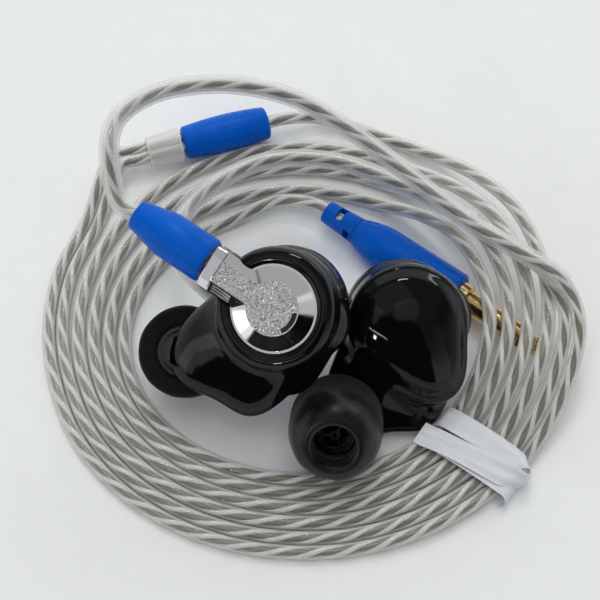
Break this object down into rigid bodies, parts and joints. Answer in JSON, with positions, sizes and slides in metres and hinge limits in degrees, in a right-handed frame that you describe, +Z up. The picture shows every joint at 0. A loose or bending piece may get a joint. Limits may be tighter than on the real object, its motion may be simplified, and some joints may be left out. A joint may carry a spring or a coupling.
{
  "type": "in ear monitors",
  "caption": "Wired in ear monitors with foam tips and over-ear guides, lying in their coiled cable with splitter, slider, tie and plug.",
  "frame": {"origin": "middle of the footprint of the two earpieces, on the surface that they lie on", "axes": "+Z up, +X from the left earpiece to the right one as they lie, +Y towards the splitter"},
  "size_m": [0.0787, 0.0745, 0.0299],
  "materials": {
    "black_gloss": "clear-coated gloss black resin",
    "chrome": "polished",
    "gold": "gold plated",
    "copper": "bare metal",
    "steel": "satin",
    "driver_metal": "satin",
    "diaphragm": "film",
    "white_plastic": "matt",
    "black_plastic": "matt",
    "clear_plastic": "clear soft PVC",
    "board": "matt",
    "black_rubber": "matt",
    "foam": "fine open foam",
    "blue_plastic": "semi-matt fine grain",
    "cable": "clear jacket over twisted silver conductors",
    "white_tie": "satin white strip"
  },
  "bodies": {
    "cable": {"left_boot": "blue_plastic", "left_plug_barrel": "copper", "left_plug_insulator": "white_plastic", "left_plug_pin": "gold", "left_snap_ring": "steel", "left_ear_guide": "clear_plastic", "left_lead": "cable", "right_boot": "blue_plastic", "right_plug_barrel": "copper", "right_plug_insulator": "white_plastic", "right_plug_pin": "gold", "right_snap_ring": "steel", "right_ear_guide": "clear_plastic", "right_lead": "cable", "main_cable": "cable", "splitter": "blue_plastic", "cable_tie": "white_tie", "jack_barrel": "blue_plastic", "jack_strain_relief": "blue_plastic", "jack_collar": "gold", "jack_sleeve": "gold", "jack_ring": "gold", "jack_tip": "gold", "jack_insulators": "black_plastic"},
    "left_monitor": {"left_shell": "black_gloss", "left_faceplate": "chrome", "left_connector_cap": "chrome", "left_socket_barrel": "gold", "left_socket_insulator": "white_plastic", "left_socket_contact": "gold", "left_nozzle": "steel", "left_nozzle_grille": "steel", "left_dynamic_driver": "driver_metal", "left_driver_diaphragm": "diaphragm", "left_armature_driver": "driver_metal", "left_sound_tube": "clear_plastic", "left_crossover_board": "board"},
    "right_monitor": {"right_shell": "black_gloss", "right_faceplate": "chrome", "right_connector_cap": "chrome", "right_socket_barrel": "gold", "right_socket_insulator": "white_plastic", "right_socket_contact": "gold", "right_nozzle": "steel", "right_nozzle_grille": "steel", "right_dynamic_driver": "driver_metal", "right_driver_diaphragm": "diaphragm", "right_armature_driver": "driver_metal", "right_sound_tube": "clear_plastic", "right_crossover_board": "board"},
    "left_tip": {"left_tip_core": "black_rubber", "left_tip_foam": "foam"},
    "right_tip": {"right_tip_core": "black_rubber", "right_tip_foam": "foam"},
    "slider": {"slider": "clear_plastic"}
  },
  "joints": [
    {"name": "left_swivel", "type": "hinge", "parent": "cable", "child": "left_monitor", "pos_m": [-0.01014, 0.00718, 0.02307], "axis": [-0.8186, 0.5647, 0.1045], "range_deg": [0, 8]},
    {"name": "left_tip_pull", "type": "slide", "parent": "left_monitor", "child": "left_tip", "axis": [0.0693, 0.4545, -0.888], "range_m": [0, 0.009]},
    {"name": "right_swivel", "type": "hinge", "parent": "cable", "child": "right_monitor", "pos_m": [0.00588, 0.00847, 0.00974], "axis": [-0.9989, -0.007, 0.0454], "range_deg": [-3, 3]},
    {"name": "right_tip_pull", "type": "slide", "parent": "right_monitor", "child": "right_tip", "axis": [-0.0722, -0.7523, 0.6548], "range_m": [0, 0.009]},
    {"name": "chin_slide", "type": "slide", "parent": "cable", "child": "slider", "axis": [-0.9548, -0.2974, 0], "range_m": [0, 0.004]}
  ]
}
